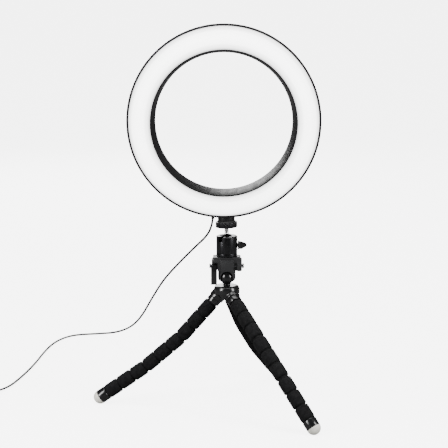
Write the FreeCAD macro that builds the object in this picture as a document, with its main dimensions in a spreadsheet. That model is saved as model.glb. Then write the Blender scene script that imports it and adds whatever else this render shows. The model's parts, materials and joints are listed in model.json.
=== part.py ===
"""Parametric FreeCAD model of a small ring light on a flexible three-legged desk stand.

The frame is +Z up, in millimetres, with the floor at Z = 0. The light looks along -Y.
The origin is on the floor, under the middle of the object without its power lead.
The stand's own upright axis is the stack axis, at (stack_x, stack_y).
"""
import FreeCAD
import Part
import math
import os
import Sketcher
from FreeCAD import Placement, Rotation, Vector

DIMENSIONS = (
    # The stack: ring, ball head, clamp block and hub, one above the other.
    ("stack_x", 22.2, "stack axis, across"),
    ("stack_y", -10.7, "stack axis, front to back"),
    ("ring_lean", 1.4, "lean of the ring to its right on the upper ball, in degrees"),
    ("ring_height", 302.5, "middle of the ring above the floor"),
    ("ring_setback", 5, "ring's back face in front of the stack axis"),
    ("ball_height", 178.5, "middle of the upper ball"),
    ("joint_height", 138.7, "middle of the lower ball"),
    ("hub_height", 121, "height where the three leg axes start"),
    # Ring.
    ("ring_radius", 99.4, "outer radius of the ring's shell"),
    ("hole_radius_back", 69.9, "radius of the ring's hole at the back"),
    ("hole_radius_front", 73.3, "radius of the ring's hole at the front"),
    ("shell_wall", 2.1, "wall of the back shell"),
    ("shell_floor", 2.4, "back wall of the back shell"),
    ("rim_depth", 6, "outer rim from the back face"),
    ("ring_depth", 24, "inner rim from the back face"),
    ("crest_depth", 25.5, "highest line of the diffuser"),
    ("crest_radius", 83, "radius of that line"),
    ("diffuser_wall", 1.6, "wall of the milky diffuser"),
    ("slide_fit", 0.1, "gap of a part laid in another"),
    ("tray_height", 5, "underside of the tray from the back face"),
    ("tray_thick", 1.2, "reflector tray"),
    ("board_thick", 1.6, "circuit board"),
    ("board_inner", 79, "inner radius of the circuit board"),
    ("board_outer", 91, "outer radius of the circuit board"),
    ("led_size", 3, "side of one light emitting diode"),
    ("led_thick", 0.8, "height of one diode"),
    ("led_count", 60, "diodes round the board"),
    ("screw_circle", 84, "radius of the circle of shell screws"),
    ("screw_count", 6, "screws that hold the shell together"),
    ("post_radius", 3, "screw posts under the tray"),
    ("vent_count", 48, "radial grooves in the back face"),
    ("vent_length", 11, "one of those grooves"),
    ("vent_width", 1.6, "one of those grooves"),
    ("vent_depth", 1.1, "one of those grooves"),
    ("shell_screw_radius", 1, "thread of a shell screw"),
    ("shell_head_radius", 2, "head of a shell screw"),
    ("shell_head_thick", 1.3, "depth of that head"),
    # Mount under the ring.
    ("boss_radius", 8.8, "round mount boss under the ring"),
    ("boss_bottom", 198.6, "lower face of the mount boss"),
    ("boss_top", 214, "upper end of the mount boss, behind the ring"),
    ("thread_radius", 3.175, "stud and insert thread, 1/4 inch"),
    ("insert_radius", 4.2, "brass insert"),
    ("insert_length", 7, "brass insert"),
    ("gland_angle", 7.9, "lead's gland, from the lowest point of the rim"),
    ("gland_radius", 1.7, "lead's gland"),
    ("gland_depth", 2.9, "axis of the gland from the back face"),
    ("gland_end", 102.2, "outer end of the gland from the ring's middle"),
    # Ball head.
    ("pad_radius", 9.6, "rubber pad on the lock disc"),
    ("pad_thick", 1.1, "rubber pad on the lock disc"),
    ("disc_radius", 11.2, "lock disc"),
    ("disc_bottom", 191.6, "lower face of the lock disc"),
    ("disc_top", 197.3, "upper face of the lock disc"),
    ("knurl_count", 40, "grooves round the lock disc"),
    ("ball_radius", 6.5, "upper ball"),
    ("stem_radius", 2.1, "bare stem between the ball and the lock disc"),
    ("stem_top", 204.6, "upper end of the stud"),
    ("barrel_radius", 10.9, "barrel"),
    ("barrel_bottom", 161.4, "lower face of the barrel"),
    ("barrel_top", 182.5, "upper face of the barrel"),
    ("seam_height", 164.6, "seam round the foot of the barrel"),
    ("seam_width", 0.6, "seam round the foot of the barrel"),
    ("seam_depth", 0.5, "seam round the foot of the barrel"),
    ("mouth_radius", 5.4, "opening above the ball"),
    ("barrel_floor", 166, "floor inside the barrel"),
    ("notch_width", 4.8, "notch in the barrel's rim"),
    ("notch_depth", 5.4, "notch in the barrel's rim"),
    ("notch_azimuth", 234, "side that the notch is on"),
    ("screw_height", 172.6, "axis of the clamp screw"),
    ("clamp_screw_radius", 2, "clamp screw"),
    ("clamp_screw_start", 5.6, "inner end of the clamp screw from the stack axis"),
    ("knob_radius", 4.5, "wing knob"),
    ("knob_start", 11.3, "near face of the wing knob from the stack axis"),
    ("knob_thick", 2.8, "round part of the wing knob"),
    ("knob_cap", 0.4, "knob's material over the end of its screw"),
    ("wing_thick", 3.2, "flat wing of the knob"),
    ("wing_length", 9.2, "knob with its wing"),
    # Clamp block.
    ("plate_top", 161, "upper face of the release plate"),
    ("plate_thick", 2.6, "release plate"),
    ("plate_width", 28.6, "release plate, across"),
    ("block_width", 31.4, "clamp block, across"),
    ("block_front", 10.5, "proud front face of the clamp block from the stack axis"),
    ("block_back", 6.5, "back face of the clamp block from the stack axis"),
    ("plate_front", 8.5, "front edge of the release plate from the stack axis"),
    ("ear_front", 8.2, "front face of the block's ears from the stack axis"),
    ("slot_width", 3, "slot beside the right ear"),
    ("block_bottom", 146.4, "lower face of the clamp block"),
    ("block_step", 1, "one step of the clamp block's stepped sides"),
    ("plate_screw_radius", 1.25, "screws of the release plate"),
    ("plate_head_radius", 1.6, "heads of those screws"),
    ("pivot_radius", 3, "pivot under the barrel"),
    ("cup_radius", 9.1, "outer radius of the two arms beside the lower ball"),
    ("cup_bottom", 134.7, "lower ends of those arms"),
    ("arch_radius", 6.2, "arch between the arms"),
    ("bolt_height", 151.6, "axis of the transverse bolt"),
    ("bolt_setback", 4.9, "axis of that bolt in front of the stack axis"),
    ("bolt_radius", 1.5, "transverse bolt"),
    ("lever_length", 20, "clamp lever below its bolt"),
    ("lever_width", 4.6, "clamp lever"),
    ("lever_thick", 6.4, "clamp lever"),
    # Lower ball and hub.
    ("joint_radius", 7.6, "lower ball"),
    ("liner_thick", 0.55, "plastic liner over the lower ball"),
    ("running_fit", 0.05, "radial gap of a running fit"),
    ("neck_radius", 3.6, "neck under the lower ball"),
    ("lobe_radius", 8, "round shoulder of the hub over each leg"),
    ("lobe_offset", 7.2, "middle of a shoulder from the stack axis"),
    ("hub_top", 130.2, "upper face of the hub's middle"),
    ("crown_radius", 13.4, "rounded middle of the hub"),
    ("crown_bottom", 117, "lower face of the hub's middle"),
    ("collar_start", 6.2, "collar from the middle of its shoulder"),
    ("collar_end", 11.6, "end of the collar from the middle of its shoulder"),
    ("collar_radius", 7.1, "glossy collar"),
    # Legs.
    ("foam_radius", 7.5, "foam sleeve"),
    ("groove_radius", 6.2, "bottom of a groove in the foam"),
    ("groove_width", 1.7, "groove between two beads of foam"),
    ("bead_chamfer", 0.8, "edge of a bead"),
    ("end_chamfer", 1.8, "edge of a bead beside a bend, which leaves room for it"),
    ("bead_pitch", 16.75, "one bead and one groove"),
    ("beads_per_part", 3, "beads in one bending part of a leg"),
    ("core_radius", 2.5, "bendable core of a leg"),
    ("core_gap", 1, "end of a core from the next bend"),
    ("core_grip", 4, "end of the last core in its ferrule, past the foam"),
    ("ferrule_radius", 7.3, "end ferrule"),
    ("ferrule_length", 8.4, "end ferrule"),
    ("foot_radius", 7.2, "rubber foot"),
    ("foot_height", 6.8, "middle of a foot's dome above the floor"),
    ("spigot_radius", 4, "spigot of a foot in its ferrule"),
    ("spigot_length", 3.5, "spigot of a foot in its ferrule"),
    # Power lead.
    ("lead_radius", 1.15, "power lead"),
    ("coil_radius", 13.8, "middle of the lead's coil"),
    ("bundle_radius", 4.2, "thickness of the coil"),
    ("coil_turns", 7.3, "turns in the coil"),
    ("coil_x", -303, "middle of the coil, from the stack axis"),
    ("coil_y", -56, "middle of the coil, from the stack axis"),
    ("control_length", 58, "in-line controller"),
    ("control_width", 16, "in-line controller"),
    ("control_height", 9, "in-line controller"),
    ("control_wall", 1.4, "walls of its two shells"),
    ("control_azimuth", 256, "way the lead runs through the controller"),
    ("relief_length", 5, "strain reliefs of the controller and the plug"),
    ("relief_radius", 2.4, "strain reliefs of the controller and the plug"),
    ("button_radius", 3.2, "one button"),
    ("button_pitch", 12, "from button to button"),
    ("button_rise", 1.2, "button above the controller's cover"),
    ("plug_azimuth", 50, "way the plug points"),
    ("plug_width", 15, "plug's grip"),
    ("plug_length", 21, "plug's grip"),
    ("plug_height", 8, "plug's grip"),
    ("usb_width", 12, "plug's metal sleeve"),
    ("usb_height", 4.5, "plug's metal sleeve"),
    ("usb_length", 12, "plug's metal sleeve"),
    ("usb_wall", 0.4, "plug's metal sleeve"),
)

# The bends of the legs: heading and slope of each leg's upper and middle part, and the heading
# of its lowest part, whose slope follows from the height of the foot.
LEGS = {
    "left_leg": ((174, 49.2), (173.5, 41.2), 178.5),
    "right_leg": ((303.3, 35.4), (311.2, 42.3), 320.4),
    "rear_leg": ((72.7, 42.8), (63.6, 43.5), 59.8),
}
LEG_PARTS = ("upper", "middle", "lower")

# The power lead from its gland to the controller. It hangs behind the stand, lands on the floor
# and runs forward again. Places from the stack axis and the floor.
LEAD_ROUTE = (
    (-14.60, -7.9, 200.91),
    (-15.50, -7.9, 192.97),
    (-21.5, -2.2, 181.5),
    (-32, 8, 170),
    (-50.5, 26.5, 148),
    (-68, 50.5, 124.5),
    (-83, 92, 93),
    (-94, 140, 66),
    (-105, 192, 43),
    (-118, 243, 23.5),
    (-136, 289, 7.5),
    (-160, 309.5, 1.2),
    (-189, 303, 1.2),
    (-206, 271, 1.2),
    (-214, 225, 1.2),
    (-219, 171, 1.2),
    (-227, 118, 1.2),
    (-238, 66, 1.2),
    (-253.02, 35.95, 4.5),
    (-257.5, 18, 4.5),
)
# The lead goes on from the controller into its coil, and from the coil to the plug.
LEAD_TO_COIL = (
    (-273.9, -48, 4.5),
    (-276.4, -58, 4.5),
    (-284, -68.5, 3.8),
    (-296, -71.5, 4.2),
)
LEAD_TO_PLUG = (
    (-318, -54, 4.2),
    (-319, -40, 4.0),
    (-315.64, -25.49, 4.0),
    (-306, -14, 4.0),
)

doc = FreeCAD.newDocument("RingLight")
sheet = doc.addObject("Spreadsheet::Sheet", "Dims")
for row, (alias, value, note) in enumerate(DIMENSIONS, start=1):
    sheet.set(f"A{row}", alias)
    sheet.set(f"B{row}", str(value))
    sheet.setAlias(f"B{row}", alias)
    sheet.set(f"C{row}", note)
doc.recompute()


class Size:
    """A size worked out from the sheet: its value, and the expression that binds it."""

    def __init__(self, value, text):
        self.value = value
        self.text = text

    def joined(self, other, sign, value):
        text = other.text if isinstance(other, Size) else repr(other)
        return Size(value, f"({self.text} {sign} {text})")

    def __add__(self, other):
        return self.joined(other, "+", self.value + number(other))

    def __sub__(self, other):
        return self.joined(other, "-", self.value - number(other))

    def __mul__(self, other):
        return self.joined(other, "*", self.value * number(other))

    def __truediv__(self, other):
        return self.joined(other, "/", self.value / number(other))

    def __rsub__(self, other):
        return Size(other - self.value, f"({other!r} - {self.text})")

    def __neg__(self):
        return 0 - self


def number(size):
    """The plain number of a size or a number."""
    return size.value if isinstance(size, Size) else size


def root(size):
    """The square root of a size."""
    return Size(math.sqrt(size.value), f"sqrt({size.text})")


class Dims:
    """The sheet's sizes, each by its alias."""

    def __getattr__(self, alias):
        return Size(float(sheet.get(alias)), "Dims." + alias)


d = Dims()
parts = []
STACK = Vector(d.stack_x.value, d.stack_y.value, 0)
UPRIGHT = Rotation()
ALONG_X = Rotation(Vector(0, 1, 0), 90)
ALONG_Y = Rotation(Vector(1, 0, 0), -90)
FORWARD = Rotation(Vector(1, 0, 0), 90)


def bind(thing, **sizes):
    """Set each size of an object, and bind those that come from the sheet."""
    for name, size in sizes.items():
        setattr(thing, name, number(size))
        if isinstance(size, Size):
            thing.setExpression(name, size.text)
    return thing


def at(x=0, y=0, z=0, turn=UPRIGHT):
    """A placement from sizes or numbers."""
    return Placement(Vector(number(x), number(y), number(z)), turn)


def node(thing, label, place=None):
    """Make an object one of the sub-parts. Its place is given from the stack axis."""
    thing.Label = label
    place = Placement(STACK, Rotation()).multiply(place or Placement())
    thing.Placement = place.multiply(thing.Placement)
    parts.append(thing)
    return thing


def arc_edge(start, end, radius):
    """The arc between two points that turns left for a positive radius and right for a negative."""
    chord = end - start
    middle = (start + end) * 0.5
    side = Vector(-chord.y, chord.x, 0).normalize()
    reach = math.sqrt(max(radius * radius - chord.Length ** 2 / 4, 0))
    centre = middle + side * (reach if radius > 0 else -reach)
    first, last = (start, end) if radius > 0 else (end, start)
    angles = [math.atan2(p.y - centre.y, p.x - centre.x) for p in (first, last)]
    if angles[1] < angles[0]:
        angles[1] += 2 * math.pi
    circle = Part.Circle(centre, Vector(0, 0, 1), abs(radius))
    return Part.ArcOfCircle(circle, angles[0], angles[1])


def fix_length(sketch, kind, a, b, size):
    """Hold one distance of a sketch, bound to the sheet where it comes from it."""
    if number(size) < 0:
        a, b, size = b, a, -size
    index = sketch.addConstraint(Sketcher.Constraint(kind, *a, *b, number(size)))
    if isinstance(size, Size):
        sketch.setExpression(f"Constraints[{index}]", size.text)


def outline(body, role, points):
    """A closed, fully dimensioned sketch on one of the body's own planes.

    Each point is (across, up), or (across, up, radius) where an arc leaves it.
    """
    sketch = body.newObject("Sketcher::SketchObject", "Sketch")
    plane = next(f for f in body.Origin.OriginFeatures if f.Role == role)
    sketch.AttachmentSupport = [(plane, "")]
    sketch.MapMode = "FlatFace"
    spots = [Vector(number(p[0]), number(p[1]), 0) for p in points]
    ends = []
    for i, spot in enumerate(spots):
        following = spots[(i + 1) % len(spots)]
        radius = points[i][2] if len(points[i]) > 2 else None
        if radius is None:
            sketch.addGeometry(Part.LineSegment(spot, following))
            ends.append((1, 2))
        else:
            sketch.addGeometry(arc_edge(spot, following, number(radius)))
            ends.append((1, 2) if number(radius) > 0 else (2, 1))
    for i, point in enumerate(points):
        j = (i + 1) % len(points)
        sketch.addConstraint(Sketcher.Constraint("Coincident", i, ends[i][1], j, ends[j][0]))
        for kind, axis, size in (("DistanceX", -2, point[0]), ("DistanceY", -1, point[1])):
            if number(size) == 0:
                sketch.addConstraint(Sketcher.Constraint("PointOnObject", i, ends[i][0], axis))
            else:
                fix_length(sketch, kind, (-1, 1), (i, ends[i][0]), size)
        if len(point) > 2:
            index = sketch.addConstraint(Sketcher.Constraint("Radius", i, abs(number(point[2]))))
            if isinstance(point[2], Size):
                size = point[2] if number(point[2]) > 0 else -point[2]
                sketch.setExpression(f"Constraints[{index}]", size.text)
    return sketch


def turned(name, points):
    """A body turned about its own Z axis. Each point of its outline is (radius, height)."""
    body = doc.addObject("PartDesign::Body", name)
    sketch = outline(body, "XZ_Plane", points)
    spin = body.newObject("PartDesign::Revolution", "Revolution")
    spin.Profile = sketch
    spin.ReferenceAxis = (sketch, ["V_Axis"])
    spin.Angle = 360
    return body


def padded(name, role, points, length, middle=False):
    """A body made by padding an outline on one of its own planes."""
    body = doc.addObject("PartDesign::Body", name)
    pad = body.newObject("PartDesign::Pad", "Pad")
    pad.Profile = outline(body, role, points)
    bind(pad, Length=length)
    pad.Midplane = middle
    return body


def block(across, deep, high, place=None):
    """A box, centred on its own Z axis and standing on its own floor."""
    box = bind(doc.addObject("Part::Box", "Box"), Length=across, Width=deep, Height=high)
    centred = at(-number(across) / 2, -number(deep) / 2)
    box.Placement = (place or Placement()).multiply(centred)
    return box


def rod(radius, height, place=None):
    """A cylinder that stands on the given place."""
    cylinder = bind(doc.addObject("Part::Cylinder", "Rod"), Radius=radius, Height=height)
    cylinder.Placement = place or Placement()
    return cylinder


def ball(radius, place=None):
    """A sphere."""
    sphere = bind(doc.addObject("Part::Sphere", "Ball"), Radius=radius)
    sphere.Placement = place or Placement()
    return sphere


def fused(name, *pieces):
    """Several shapes in one."""
    union = doc.addObject("Part::MultiFuse", name)
    union.Shapes = list(pieces)
    union.Refine = True
    return union


def cut(name, base, *tools):
    """A shape less one or more others."""
    less = doc.addObject("Part::Cut", name)
    less.Base = base
    less.Tool = tools[0] if len(tools) == 1 else fused(name + "_tools", *tools)
    return less


def common(name, base, tool):
    """What two shapes share."""
    shared = doc.addObject("Part::Common", name)
    shared.Base = base
    shared.Tool = tool
    return shared


def group(name, *pieces):
    """Several separate solids in one sub-part."""
    together = doc.addObject("Part::Compound", name)
    together.Links = list(pieces)
    return together


def round_the_ring(count, offset, radius, height):
    """Places on a circle in the ring's own frame."""
    for i in range(count):
        angle = math.radians(offset + 360 * i / count)
        yield at(radius * math.cos(angle), radius * math.sin(angle), height)


def head_place(place=None):
    """A place on the light's head, which leans on the upper ball."""
    lean = Rotation(Vector(0, 1, 0), -d.ring_lean.value)
    on_ball = at(0, 0, d.ball_height, lean).multiply(at(0, 0, -d.ball_height))
    return on_ball.multiply(place or Placement())


def ring_parts():
    """The ring, drawn in its own frame: X across, Y up and Z out of the light's face."""
    place = head_place(at(0, -d.ring_setback, d.ring_height, FORWARD))
    shell = turned("ShellTurned", [
        (d.hole_radius_back, 0),
        (d.ring_radius - 4, 0, 4),
        (d.ring_radius, 4),
        (d.ring_radius, d.rim_depth),
        (d.ring_radius - d.shell_wall, d.rim_depth),
        (d.ring_radius - d.shell_wall, d.shell_floor),
        (d.hole_radius_back + d.shell_wall + 0.3, d.shell_floor),
        (d.hole_radius_front + d.shell_wall, d.ring_depth - 0.9),
        (d.hole_radius_front, d.ring_depth - 0.9),
    ])
    circle = (int(d.screw_count.value), 30, d.screw_circle.value)
    holes = [rod(d.shell_screw_radius + d.slide_fit, d.shell_floor, p)
             for p in round_the_ring(*circle, 0)]
    holes += [rod(d.shell_head_radius + d.slide_fit, d.shell_head_thick, p)
              for p in round_the_ring(*circle, 0)]
    gland_turn = Rotation(Vector(0, 0, 1), -90 - d.gland_angle.value)
    gland_place = Placement(Vector(0, 0, d.gland_depth.value), gland_turn)
    gland_axis = gland_place.multiply(at(d.ring_radius - 6, turn=ALONG_X))
    gland_hole = rod(d.gland_radius, 12, gland_axis)
    vents = []
    for i in range(int(d.vent_count.value)):
        spin = Rotation(Vector(0, 0, 1), 360 * (i + 0.5) / d.vent_count.value)
        out = Placement(spin.multVec(Vector(d.screw_circle.value, 0, 0)), spin)
        vents.append(block(d.vent_length, d.vent_width, d.vent_depth, out))
    node(cut("Shell", shell, *holes, *vents, gland_hole), "back_shell", place)

    rim = d.ring_radius - d.shell_wall - d.slide_fit
    front = d.hole_radius_front + d.shell_wall + d.slide_fit
    wall = d.diffuser_wall
    cover = turned("CoverTurned", [
        (rim, d.rim_depth - 1),
        (rim, d.rim_depth + 0.6, 24),
        (d.crest_radius, d.crest_depth, 11),
        (d.hole_radius_front + 0.9, d.ring_depth - 0.7),
        (front, d.ring_depth - 0.9),
        (front, d.ring_depth - 3),
        (front + wall, d.ring_depth - 3),
        (front + wall, d.ring_depth - wall, -9),
        (d.crest_radius, d.crest_depth - wall, -22.4),
        (rim - wall, d.rim_depth + 0.6),
        (rim - wall, d.rim_depth - 1),
    ])
    node(cover, "diffuser", place)

    tray_outer = rim - 5
    tray = turned("TrayTurned", [
        (d.board_inner - 1.5, d.tray_height),
        (tray_outer, d.tray_height),
        (tray_outer, d.tray_height + d.tray_thick),
        (d.board_inner - 1.5, d.tray_height + d.tray_thick),
    ])
    posts = [rod(d.post_radius, d.tray_height + 0.5 - d.shell_floor, p)
             for p in round_the_ring(*circle, d.shell_floor.value)]
    threads = [rod(d.shell_screw_radius, d.tray_height, p) for p in round_the_ring(*circle, 0)]
    node(cut("Tray", fused("TrayPosts", tray, *posts), *threads), "reflector_tray", place)

    board_low = d.tray_height + d.tray_thick
    board = turned("BoardTurned", [
        (d.board_inner, board_low),
        (d.board_outer, board_low),
        (d.board_outer, board_low + d.board_thick),
        (d.board_inner, board_low + d.board_thick),
    ])
    leds = int(d.led_count.value)
    middle = (number(d.board_inner) + number(d.board_outer)) / 2
    chips = [block(d.led_size, d.led_size, d.led_thick, p)
             for p in round_the_ring(leds, 0, middle, (board_low + d.board_thick).value)]
    node(group("Board", board, *chips), "led_board", place)

    screw = [
        (0, 0),
        (d.shell_head_radius, 0),
        (d.shell_head_radius, d.shell_head_thick),
        (d.shell_screw_radius, d.shell_head_thick),
        (d.shell_screw_radius, d.tray_height - 0.6),
        (0, d.tray_height - 0.6),
    ]
    screws = []
    for p in round_the_ring(*circle, 0):
        one = turned("ShellScrew", screw)
        one.Placement = p
        screws.append(one)
    node(group("ShellScrews", *screws), "shell_screws", place)

    gland = turned("Gland", [
        (0, 0),
        (d.gland_radius, 0),
        (d.gland_radius, d.gland_end - d.ring_radius + 3.6),
        (d.lead_radius + 0.2, d.gland_end - d.ring_radius + 6),
        (0, d.gland_end - d.ring_radius + 6),
    ])
    node(gland, "cord_gland", place.multiply(gland_axis))


def mount_parts():
    """The boss that is screwed to the ring's back, and the brass thread in it."""
    ring_zone = rod(d.ring_radius, d.ring_depth,
                    at(0, -d.ring_setback, d.ring_height, FORWARD))
    boss = rod(d.boss_radius, d.boss_top - d.boss_bottom, at(0, 0, d.boss_bottom))
    bore = rod(d.insert_radius, d.insert_length, at(0, 0, d.boss_bottom))
    relief = rod(d.thread_radius, 10, at(0, 0, d.boss_bottom))
    node(cut("Boss", boss, ring_zone, bore, relief), "mount_boss", head_place())
    insert = turned("Insert", [
        (d.thread_radius, 0),
        (d.insert_radius, 0),
        (d.insert_radius, d.insert_length),
        (d.thread_radius, d.insert_length),
    ])
    node(insert, "thread_insert", head_place(at(0, 0, d.boss_bottom)))


def ball_head_parts():
    """The upper ball head: lock disc, ball and stud, barrel, seat, clamp screw and wing knob."""
    disc = turned("DiscTurned", [
        (d.thread_radius + 0.2, d.disc_bottom),
        (d.disc_radius - 0.4, d.disc_bottom),
        (d.disc_radius, d.disc_bottom + 0.4),
        (d.disc_radius, d.disc_top - 0.4),
        (d.disc_radius - 0.4, d.disc_top),
        (d.thread_radius + 0.2, d.disc_top),
    ])
    knurls = []
    for i in range(int(d.knurl_count.value)):
        turn = Rotation(Vector(0, 0, 1), 360 * i / d.knurl_count.value)
        out = turn.multVec(Vector(d.disc_radius.value + 0.45, 0, d.disc_bottom.value))
        knurls.append(rod(0.7, d.disc_top - d.disc_bottom, Placement(out, turn)))
    node(cut("Disc", disc, *knurls), "lock_disc", head_place())
    pad = turned("Pad", [
        (d.thread_radius + 0.2, d.disc_top),
        (d.pad_radius, d.disc_top),
        (d.pad_radius - 0.4, d.disc_top + d.pad_thick),
        (d.thread_radius + 0.2, d.disc_top + d.pad_thick),
    ])
    node(pad, "rubber_pad", head_place())

    low = root(d.ball_radius * d.ball_radius - d.stem_radius * d.stem_radius)
    stem = turned("Stem", [
        (0, d.ball_height - d.ball_radius, d.ball_radius),
        (d.stem_radius, d.ball_height + low),
        (d.stem_radius, d.disc_bottom - 0.6),
        (d.thread_radius - 0.1, d.disc_bottom),
        (d.thread_radius - 0.1, d.stem_top - 0.6),
        (d.thread_radius - 0.7, d.stem_top),
        (0, d.stem_top),
    ])
    node(stem, "ball_stem", head_place())

    bore = d.ball_radius + d.slide_fit
    lip = d.ball_height + root(bore * bore - d.mouth_radius * d.mouth_radius)
    barrel = turned("BarrelTurned", [
        (0, d.barrel_bottom),
        (d.barrel_radius - 0.5, d.barrel_bottom),
        (d.barrel_radius, d.barrel_bottom + 0.5),
        (d.barrel_radius, d.seam_height - d.seam_width / 2),
        (d.barrel_radius - d.seam_depth, d.seam_height - d.seam_width / 2),
        (d.barrel_radius - d.seam_depth, d.seam_height + d.seam_width / 2),
        (d.barrel_radius, d.seam_height + d.seam_width / 2),
        (d.barrel_radius, d.barrel_top - 0.7),
        (d.barrel_radius - 0.7, d.barrel_top),
        (d.mouth_radius + 0.3, d.barrel_top),
        (d.mouth_radius, lip, -bore),
        (bore, d.ball_height),
        (bore, d.barrel_floor),
        (0, d.barrel_floor),
    ])
    pivot = rod(d.pivot_radius, d.barrel_bottom - d.plate_top + 6,
                at(0, 0, d.plate_top - 6))
    turn = Rotation(Vector(0, 0, 1), d.notch_azimuth.value)
    notch = block(d.barrel_radius, d.notch_width, d.notch_depth + 1)
    reach = turn.multVec(Vector(d.barrel_radius.value, 0, 0))
    notch.Placement = Placement(
        reach + Vector(0, 0, (d.barrel_top - d.notch_depth).value), turn
    ).multiply(notch.Placement)
    tapping = rod(d.clamp_screw_radius + d.running_fit, d.barrel_radius,
                  at(d.clamp_screw_start, 0, d.screw_height, ALONG_X))
    node(cut("Barrel", fused("BarrelPivot", barrel, pivot), notch, tapping), "barrel")

    cup = d.ball_radius + d.running_fit
    rest = d.ball_height - root(cup * cup - cup * cup * 0.72)
    seat = turned("SeatTurned", [
        (0, d.barrel_floor),
        (d.ball_radius, d.barrel_floor),
        (d.ball_radius, rest),
        (cup * math.sqrt(0.72), rest, -cup),
        (0, d.ball_height - cup),
    ])
    pocket = rod(d.clamp_screw_radius + d.running_fit, d.barrel_radius,
                 at(d.clamp_screw_start - 0.2, 0, d.screw_height, ALONG_X))
    node(cut("Seat", seat, pocket), "ball_seat")

    length = d.knob_start + d.knob_thick - d.clamp_screw_start - d.knob_cap
    screw = turned("ClampScrew", [
        (0, 0),
        (d.clamp_screw_radius, 0),
        (d.clamp_screw_radius, length),
        (0, length),
    ])
    node(screw, "clamp_screw", at(d.clamp_screw_start, 0, d.screw_height, ALONG_X))
    dome = turned("KnobDome", [
        (0, 0),
        (d.knob_radius, 0),
        (d.knob_radius, d.knob_thick - 1.4),
        (d.knob_radius - 1.2, d.knob_thick),
        (0, d.knob_thick),
    ])
    wing = padded("WingPad", "XZ_Plane", [
        (1 - d.knob_radius, 1),
        (d.knob_radius - 0.6, 1),
        (d.knob_radius - 0.4, d.knob_thick + 1.2),
        (1.5, d.wing_length - 0.8),
        (0.7, d.wing_length),
        (-1.1, d.wing_length),
        (-1.9, d.wing_length - 0.8),
        (0.8 - d.knob_radius, d.knob_thick + 0.4),
    ], d.wing_thick, True)
    bore = rod(d.clamp_screw_radius, d.knob_thick - d.knob_cap)
    knob = cut("Knob", fused("KnobWing", dome, wing), bore)
    node(knob, "wing_knob", at(d.knob_start, 0, d.screw_height, ALONG_X))


def block_parts():
    """The clamp block over the lower ball, its release plate, liner, bolt and lever."""
    plate_low = d.plate_top - d.plate_thick
    side = d.plate_width / 2
    plate = padded("PlatePad", "XY_Plane", [
        (1.5 - side, -d.plate_front),
        (side - 1.5, -d.plate_front),
        (side, 1.5 - d.plate_front),
        (side, d.block_back - 1.5),
        (side - 1.5, d.block_back),
        (1.5 - side, d.block_back),
        (-side, d.block_back - 1.5),
        (-side, 1.5 - d.plate_front),
    ], d.plate_thick)
    plate.Placement = at(0, 0, plate_low)
    bearing = rod(d.pivot_radius + d.running_fit, d.plate_thick, at(0, 0, plate_low))
    screw_x = d.plate_width / 2 - 4
    screws = []
    for side in (-1, 1):
        screws.append(rod(d.plate_head_radius, d.plate_thick,
                          at(side * number(screw_x), 0, plate_low)))
    node(cut("Plate", plate, bearing, *screws), "release_plate")

    # The block has stepped sides, a proud middle in front and a slot beside its right ear. The
    # lever has a recess at the left, and two arms below hold the ball.
    half = d.block_width.value / 2
    step = d.block_step.value
    front = -d.block_front.value
    back = d.block_back.value
    ear = -d.ear_front.value
    jaw = padded("JawPad", "XY_Plane", [
        (step - half, ear),
        (-6.6, ear),
        (-6.2, front),
        (6.8, front),
        (7.2, ear),
        (half - step, ear),
        (half - step, ear + 2.6),
        (half, ear + 2.6),
        (half, back - 3),
        (half - step, back - 3),
        (half - step, back - 1),
        (half - 3 * step, back),
        (3 * step - half, back),
        (step - half, back - 1),
        (step - half, back - 3),
        (-half, back - 3),
        (-half, ear + 2.6),
        (step - half, ear + 2.6),
    ], plate_low - d.block_bottom)
    jaw.Placement = at(0, 0, d.block_bottom)
    slot = block(d.slot_width, 4, 9, at(9.1, ear, d.block_bottom - 0.5))
    cup = turned("CupTurned", [
        (0, d.cup_bottom),
        (d.cup_radius - 2, d.cup_bottom),
        (d.cup_radius - 0.6, d.cup_bottom + 1.2),
        (d.cup_radius, d.cup_bottom + 3.4),
        (d.cup_radius, d.block_bottom + 2),
        (0, d.block_bottom + 2),
    ])
    socket = d.joint_radius + d.liner_thick + 2 * number(d.running_fit)
    arch_z = d.block_bottom - 0.4 - d.arch_radius
    arch = rod(d.arch_radius, 40, at(0, -20, arch_z, ALONG_Y))
    below = block(d.arch_radius * 2, 40, 12, at(0, 0, arch_z - 12))
    hollow = ball(socket, at(0, 0, d.joint_height))
    recess = block(d.lever_thick + 1.2, 9.5, 10.2,
                   at((d.lever_thick / 2).value - 0.8 - half, -d.bolt_setback, d.block_bottom - 1))
    bolt_bore = rod(d.bolt_radius + d.running_fit, 40,
                    at(-20, -d.bolt_setback, d.bolt_height, ALONG_X))
    pivot_hole = rod(d.pivot_radius + d.running_fit, 6, at(0, 0, plate_low - 3.6))
    holes = [rod(d.plate_screw_radius, 5, at(side * number(screw_x), 0, plate_low - 5))
             for side in (-1, 1)]
    body = fused("BlockBody", jaw, cup)
    tools = (arch, below, hollow, recess, slot, bolt_bore, pivot_hole, *holes)
    node(cut("Block", body, *tools), "clamp_block")

    plate_screws = []
    for side in (-1, 1):
        one = turned("PlateScrew", [
            (0, -4),
            (d.plate_screw_radius, -4),
            (d.plate_screw_radius, d.plate_thick - 1.1),
            (d.plate_head_radius, d.plate_thick - 1.1),
            (d.plate_head_radius, d.plate_thick - 0.2),
            (0, d.plate_thick - 0.2),
        ])
        one.Placement = at(side * number(screw_x), 0, plate_low)
        plate_screws.append(one)
    node(group("PlateScrews", *plate_screws), "plate_screws")

    # The liner is a cap between the ball and the block.
    inner = d.joint_radius + d.running_fit
    outer = inner + d.liner_thick
    edge = 4.3
    liner = turned("Liner", [
        (root(inner * inner - edge * edge), edge),
        (root(outer * outer - edge * edge), edge, outer),
        (0, outer),
        (0, inner, -inner),
    ])
    node(liner, "block_liner", at(0, 0, d.joint_height))


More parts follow.
